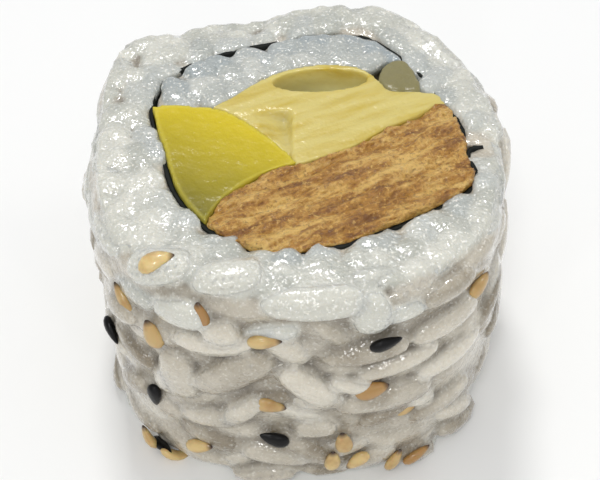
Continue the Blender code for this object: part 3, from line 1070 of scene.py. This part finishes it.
def add_node(tree, kind, inputs=None, stops=None, output=0, **attributes):
    """Adds a shader node with its attributes, colour stops and inputs, and returns one output."""
    node = tree.nodes.new("ShaderNode" + kind)
    for name, value in attributes.items():
        setattr(node, name, value)
    if stops:
        ramp = node.color_ramp
        while len(ramp.elements) < len(stops):
            ramp.elements.new(0.5)
        for element, (position, colour) in zip(ramp.elements, stops):
            element.position = position
            element.color = colour
    for name, value in (inputs or {}).items():
        socket = node.inputs[name]
        if isinstance(value, bpy.types.NodeSocket):
            tree.links.new(value, socket)
        else:
            socket.default_value = value
    return node.outputs[output]


def new_material(name, **sockets):
    """A material with its shader's uniform values set on the shader's own sockets."""
    material = bpy.data.materials.new(name)
    material.use_nodes = True
    tree = material.node_tree
    shader = tree.nodes["Principled BSDF"]
    for socket, value in sockets.items():
        shader.inputs[socket.replace("_", " ")].default_value = value
    where = add_node(tree, "TexCoord", output="Object")
    return material, tree, shader, where


def vary_gloss(tree, shader, pattern, wet, dry):
    """Lets the roughness run from wet to dry with a pattern."""
    gloss = add_node(tree, "MapRange", {"Value": pattern, "To Min": wet, "To Max": dry})
    tree.links.new(gloss, shader.inputs["Roughness"])


def set_bump(tree, shader, *layers, socket="Normal"):
    """Chains bump layers, each a height socket, a strength and a depth in metres."""
    normal = None
    for height, strength, depth in layers:
        inputs = {"Height": height, "Strength": strength, "Distance": depth}
        if normal is not None:
            inputs["Normal"] = normal
        normal = add_node(tree, "Bump", inputs)
    tree.links.new(normal, shader.inputs[socket])


def rice_material(name, rice):
    """Cooked short-grain rice: a wet, glinting starch skin over a milky, translucent body, with
    part of its sparkle painted in as pale specks.

    It is whitest on the cut ends and over the rims, where part of the paleness is painted light,
    and greyer and warmer on the wall, with painted shade in the wall's creases and where the dark
    nori shows through.
    """
    material, tree, shader, where = new_material(
        name,
        Subsurface_Weight=0.5,
        Subsurface_Radius=(1.0, 0.9, 0.75),
        Subsurface_Scale=1.2 * MM,
        IOR=1.42,
        Coat_Weight=1.0,
        Coat_Roughness=0.05,
    )
    tone = add_node(tree, "Attribute", output="Fac", attribute_name="tone")
    stain = add_node(tree, "Attribute", output="Fac", attribute_name="stain")
    cloud = add_node(tree, "TexNoise", {"Vector": where, "Scale": 0.35 / MM, "Detail": 3.0})
    spread = add_node(tree, "Math", {0: tone, 1: cloud}, operation="MULTIPLY")
    cut = add_node(
        tree, "ValToRGB", {"Fac": spread}, [(0.08, rice.white), (0.5, rice.shade)]
    )
    wall = add_node(
        tree, "ValToRGB", {"Fac": spread},
        [(0.08, rice.wall_white), (0.5, rice.wall_shade)]
    )
    # the cut ends and the grains over the rims take the paler cut colours, partly painted light on
    # the rims
    pale = add_node(tree, "Attribute", output="Fac", attribute_name="pale")
    on_wall = add_node(tree, "MapRange", {"Value": pale, "To Min": 1.0, "To Max": 0.0})
    body = add_node(tree, "MixRGB", {"Fac": on_wall, "Color1": cut, "Color2": wall})
    # painted shade: the wall's rice darkens towards the crease colour where it lies deep in a
    # crease
    cavity = add_node(tree, "Attribute", output="Fac", attribute_name="cavity")
    in_crease = add_node(
        tree, "MapRange", {"Value": cavity, "From Min": 0.5, "From Max": 0.9, "To Max": 0.95}
    )
    creased = add_node(tree, "Math", {0: in_crease, 1: on_wall}, operation="MULTIPLY")
    body = add_node(tree, "MixRGB", {"Fac": creased, "Color1": body, "Color2": rice.crease})
    # painted shade: the dark nori showing through the half-clear rice
    stained = add_node(
        tree, "MixRGB", {"Fac": stain, "Color1": body, "Color2": rice.stained}
    )
    # painted highlights: pale specks stand in for the sparkle of the wet skin, drawn as coarse as
    # the picture can hold
    beads = add_node(tree, "TexNoise", {"Vector": where, "Scale": 3.4 / MM, "Detail": 1.0})
    standing = add_node(tree, "MapRange", {"Value": beads, "From Min": 0.58, "From Max": 0.74})
    thinned = add_node(tree, "MapRange", {"Value": on_wall, "To Min": 0.85, "To Max": 0.3})
    beaded = add_node(tree, "Math", {0: standing, 1: thinned}, operation="MULTIPLY")
    skin = add_node(tree, "MixRGB", {"Fac": beaded, "Color1": stained, "Color2": rice.beads})
    tree.links.new(skin, shader.inputs["Base Color"])
    fine = add_node(tree, "TexNoise", {"Vector": where, "Scale": 2.6 / MM, "Detail": 2.0})
    vary_gloss(tree, shader, fine, 0.12, 0.5)
    lumps = add_node(tree, "TexNoise", {"Vector": where, "Scale": 1.3 / MM, "Detail": 4.0})
    set_bump(tree, shader, (lumps, 0.7, 0.34 * MM), (fine, 0.5, 0.15 * MM))
    # the film of moisture breaks the light into small glints
    glints = add_node(tree, "TexNoise", {"Vector": where, "Scale": 1.8 / MM, "Detail": 1.0})
    set_bump(tree, shader, (lumps, 0.4, 0.14 * MM), (glints, 0.7, 0.16 * MM), socket="Coat Normal")
    return material


def sesame_material(name, seeds):
    """Hulled and toasted white sesame: a waxy skin, darker at the tip."""
    material, tree, shader, where = new_material(
        name, Subsurface_Weight=0.2, Subsurface_Scale=0.4 * MM, IOR=1.45, Roughness=0.36,
        Coat_Weight=0.5, Coat_Roughness=0.12,
    )
    tone = add_node(tree, "Attribute", output="Fac", attribute_name="tone")
    along = add_node(tree, "Attribute", output="Fac", attribute_name="along")
    hull = add_node(
        tree, "ValToRGB", {"Fac": tone}, [(0.1, seeds.cream), (1.0, seeds.tan)]
    )
    mottle = add_node(tree, "TexNoise", {"Vector": where, "Scale": 0.7 / MM, "Detail": 3.0})
    toasted = add_node(
        tree, "MapRange", {"Value": mottle, "From Min": 0.45, "From Max": 0.75, "To Max": 0.7}
    )
    hull = add_node(tree, "MixRGB", {"Fac": toasted, "Color1": hull, "Color2": seeds.tan})
    at_tip = add_node(tree, "MapRange", {"Value": along, "From Min": 0.6, "From Max": 0.92})
    coat = add_node(tree, "MixRGB", {"Fac": at_tip, "Color1": hull, "Color2": seeds.tip})
    tree.links.new(coat, shader.inputs["Base Color"])
    wrinkle = add_node(tree, "TexNoise", {"Vector": where, "Scale": 1.8 / MM, "Detail": 2.0})
    set_bump(tree, shader, (wrinkle, 0.4, 0.08 * MM))
    return material


def black_sesame_material(name, seeds):
    """Unhulled black sesame: a matte ribbed hull with a wet shine."""
    material, tree, shader, where = new_material(
        name, Roughness=0.3, IOR=1.4, Specular_IOR_Level=0.35
    )
    shader.inputs["Base Color"].default_value = seeds.black
    wrinkle = add_node(tree, "TexNoise", {"Vector": where, "Scale": 1.6 / MM, "Detail": 2.0})
    set_bump(tree, shader, (wrinkle, 0.6, 0.1 * MM))
    return material


def nori_material(name, filling):
    """Roasted seaweed sheet: near black green, pressed from shreds, damp from the rice."""
    material, tree, shader, where = new_material(name, IOR=1.3, Roughness=0.6)
    shreds = add_node(tree, "TexNoise", {"Vector": where, "Scale": 1.2 / MM, "Detail": 4.0})
    colour = add_node(
        tree, "ValToRGB", {"Fac": shreds},
        [(0.3, filling.nori), (0.75, filling.nori_shreds)]
    )
    tree.links.new(colour, shader.inputs["Base Color"])
    set_bump(tree, shader, (shreds, 0.7, 0.12 * MM))
    return material


def tofu_material(name, filling):
    """Seasoned fried tofu: spongy brown layers soaked in sauce, with golden crests that glisten,
    their highlights partly painted into the colour.
    """
    material, tree, shader, where = new_material(
        name, Subsurface_Weight=0.15, Subsurface_Radius=(1.0, 0.6, 0.3), Subsurface_Scale=0.8 * MM,
        IOR=1.4, Coat_Weight=0.6, Coat_Roughness=0.1,
    )
    turned = add_node(
        tree, "Mapping", {"Vector": where, "Rotation": (0, 0, TOFU_TURN), "Scale": (3.4, 1, 1.6)},
        vector_type="TEXTURE"
    )
    layers = add_node(
        tree, "TexNoise", {"Vector": turned, "Scale": 0.75 / MM, "Detail": 8.0, "Roughness": 0.74}
    )
    # the layers lighten to painted highlights where their crests stand highest
    colour = add_node(
        tree, "ValToRGB", {"Fac": layers},
        [(0.37, filling.tofu_dark), (0.47, filling.tofu),
         (0.6, filling.tofu_light)]
    )
    # pores, and golden crests with painted highlights, drawn as coarse as the picture can hold
    crumb = add_node(tree, "TexNoise", {"Vector": where, "Scale": 3.0 / MM, "Detail": 2.0})
    pores = add_node(
        tree, "MapRange", {"Value": crumb, "From Min": 0.44, "From Max": 0.3, "To Max": 0.6}
    )
    colour = add_node(
        tree, "MixRGB", {"Fac": pores, "Color1": colour, "Color2": filling.tofu_dark}
    )
    crests = add_node(
        tree, "MapRange", {"Value": crumb, "From Min": 0.58, "From Max": 0.72, "To Max": 0.85}
    )
    colour = add_node(
        tree, "MixRGB", {"Fac": crests, "Color1": colour, "Color2": filling.tofu_light}
    )
    tree.links.new(colour, shader.inputs["Base Color"])
    vary_gloss(tree, shader, crumb, 0.15, 0.7)
    set_bump(tree, shader, (layers, 0.9, 0.7 * MM), (crumb, 1.0, 0.3 * MM))
    set_bump(tree, shader, (layers, 0.6, 0.5 * MM), (crumb, 0.9, 0.18 * MM), socket="Coat Normal")
    return material


def avocado_material(name, filling):
    """Ripe avocado: buttery yellow flesh, green towards the skin, oily where it is cut and with a
    painted highlight along its edges.
    """
    material, tree, shader, where = new_material(
        name, Subsurface_Weight=0.3, Subsurface_Radius=(1.0, 0.9, 0.3), Subsurface_Scale=0.8 * MM,
        IOR=1.36, Coat_Weight=0.15, Coat_Roughness=0.1,
    )
    wobble = add_node(tree, "TexNoise", {"Vector": where, "Scale": 0.3 / MM, "Detail": 3.0})
    # distance towards the lower left, where the skin was
    lean = add_node(
        tree, "VectorMath", {0: where, 1: (-0.45, -0.9, 0.0)}, output="Value",
        operation="DOT_PRODUCT"
    )
    shaken = add_node(tree, "Math", {0: wobble, 1: 3.0 * MM, 2: lean}, operation="MULTIPLY_ADD")
    to_skin = add_node(
        tree, "MapRange",
        {"Value": shaken, "From Min": 3.5 * MM, "From Max": 15.0 * MM, "To Min": 0.0, "To Max": 1.0}
    )
    colour = add_node(
        tree, "ValToRGB", {"Fac": to_skin},
        [(0.0, filling.avocado), (1.0, filling.avocado_green)]
    )
    # painted highlight: a pale line along the wedge's edges
    edge = add_node(tree, "Attribute", output="Fac", attribute_name="edge")
    at_rim = add_node(
        tree, "MapRange",
        {"Value": edge, "From Min": 0.0, "From Max": 0.2, "To Min": 0.3, "To Max": 0.0}
    )
    colour = add_node(
        tree, "MixRGB", {"Fac": at_rim, "Color1": colour, "Color2": filling.avocado_rim}
    )
    tree.links.new(colour, shader.inputs["Base Color"])
    fine = add_node(tree, "TexNoise", {"Vector": where, "Scale": 1.6 / MM, "Detail": 3.0})
    vary_gloss(tree, shader, fine, 0.25, 0.55)
    set_bump(tree, shader, (fine, 0.7, 0.12 * MM))
    set_bump(tree, shader, (fine, 0.8, 0.16 * MM), socket="Coat Normal")
    return material


def radish_material(name, filling, inner, olive):
    """Soft pickled radish: moist and half clear, yellow where thick, olive inside its fold and
    browner at the fold's left end, partly painted shade.
    """
    material, tree, shader, where = new_material(
        name, Subsurface_Weight=0.4, Subsurface_Radius=(1.0, 0.9, 0.5), Subsurface_Scale=1.2 * MM,
        IOR=1.4, Coat_Weight=0.35, Coat_Roughness=0.15,
    )
    turned = add_node(
        tree, "Mapping", {"Vector": where, "Rotation": (0, 0, RADISH_TURN), "Scale": (5, 1, 1)},
        vector_type="TEXTURE"
    )
    strands = add_node(tree, "TexNoise", {"Vector": turned, "Scale": 0.7 / MM, "Detail": 4.0})
    flesh = add_node(
        tree, "ValToRGB", {"Fac": strands},
        [(0.28, filling.radish_deep), (0.56, filling.radish)]
    )
    depth = add_node(tree, "SeparateXYZ", {"Vector": where}, output="Z")
    # the hollow below the cut takes the inner colour, partly painted shade
    sunk = add_node(
        tree, "MapRange",
        {"Value": depth, "From Min": ROLL_HEIGHT - 0.5 * MM, "From Max": ROLL_HEIGHT - 2.6 * MM,
         "To Min": olive, "To Max": 1.0}
    )
    colour = add_node(tree, "MixRGB", {"Fac": sunk, "Color1": flesh, "Color2": inner})
    # partly painted shade: darker brown towards the left end of the hollow
    side = add_node(tree, "SeparateXYZ", {"Vector": where}, output="X")
    browned = add_node(
        tree, "MapRange",
        {"Value": side, "From Min": -2.5 * MM, "From Max": 3.0 * MM, "To Min": 0.6, "To Max": 0.0}
    )
    brown_fold = add_node(tree, "Math", {0: browned, 1: sunk}, operation="MULTIPLY")
    colour = add_node(
        tree, "MixRGB", {"Fac": brown_fold, "Color1": colour, "Color2": filling.radish_brown}
    )
    tree.links.new(colour, shader.inputs["Base Color"])
    fine = add_node(tree, "TexNoise", {"Vector": where, "Scale": 1.5 / MM, "Detail": 3.0})
    vary_gloss(tree, shader, fine, 0.18, 0.5)
    set_bump(tree, shader, (strands, 0.5, 0.2 * MM), (fine, 0.7, 0.12 * MM))
    set_bump(tree, shader, (fine, 0.7, 0.15 * MM), socket="Coat Normal")
    return material


def table_material(name, stage):
    """A matte painted table top: nearly white, with no sheen."""
    material, tree, shader, where = new_material(name, Roughness=0.9)
    mottle = add_node(tree, "TexNoise", {"Vector": where, "Scale": 4.0, "Detail": 2.0})
    colour = add_node(
        tree, "ValToRGB", {"Fac": mottle}, [(0.0, linear(FLOOR_SHADE)), (1.0, stage.floor)]
    )
    tree.links.new(colour, shader.inputs["Base Color"])
    return material


# ------------------------------------------------------------------------------------------
# Panel and registration


class ROLL_PT_panel(bpy.types.Panel):
    """Lists the pieces of the roll and their settings"""

    bl_idname = "ROLL_PT_panel"
    bl_label = "Inside-out roll"
    bl_space_type = "VIEW_3D"
    bl_region_type = "UI"
    bl_category = "Roll"

    def draw(self, context):
        for operator in OPERATORS:
            self.layout.operator(operator.bl_idname)
        for name, group in GROUPS.items():
            box = self.layout.box()
            for setting in group.__annotations__:
                box.prop(getattr(context.scene, name), setting)


OPERATORS = (
    ROLL_OT_outer_rice,
    ROLL_OT_inner_rice,
    ROLL_OT_sesame,
    ROLL_OT_nori,
    ROLL_OT_tofu,
    ROLL_OT_avocado,
    ROLL_OT_radish,
    ROLL_OT_stage,
)
GROUPS = {
    "roll_rice": RollRiceSettings,
    "roll_seeds": RollSeedSettings,
    "roll_filling": RollFillingSettings,
    "roll_stage": RollStageSettings,
}
CLASSES = (*GROUPS.values(), *OPERATORS, ROLL_PT_panel)


def register():
    for cls in CLASSES:
        bpy.utils.register_class(cls)
    for name, group in GROUPS.items():
        setattr(bpy.types.Scene, name, bpy.props.PointerProperty(type=group))


def unregister():
    for name in GROUPS:
        delattr(bpy.types.Scene, name)
    for cls in reversed(CLASSES):
        bpy.utils.unregister_class(cls)


WALL = Wall()
CHANNEL = Channel()


def main():
    register()
    bpy.ops.roll.outer_rice()
    bpy.ops.roll.inner_rice()
    bpy.ops.roll.sesame()
    bpy.ops.roll.nori()
    bpy.ops.roll.tofu()
    bpy.ops.roll.avocado()
    bpy.ops.roll.radish()
    bpy.ops.roll.stage()


if __name__ == "__main__":
    main()
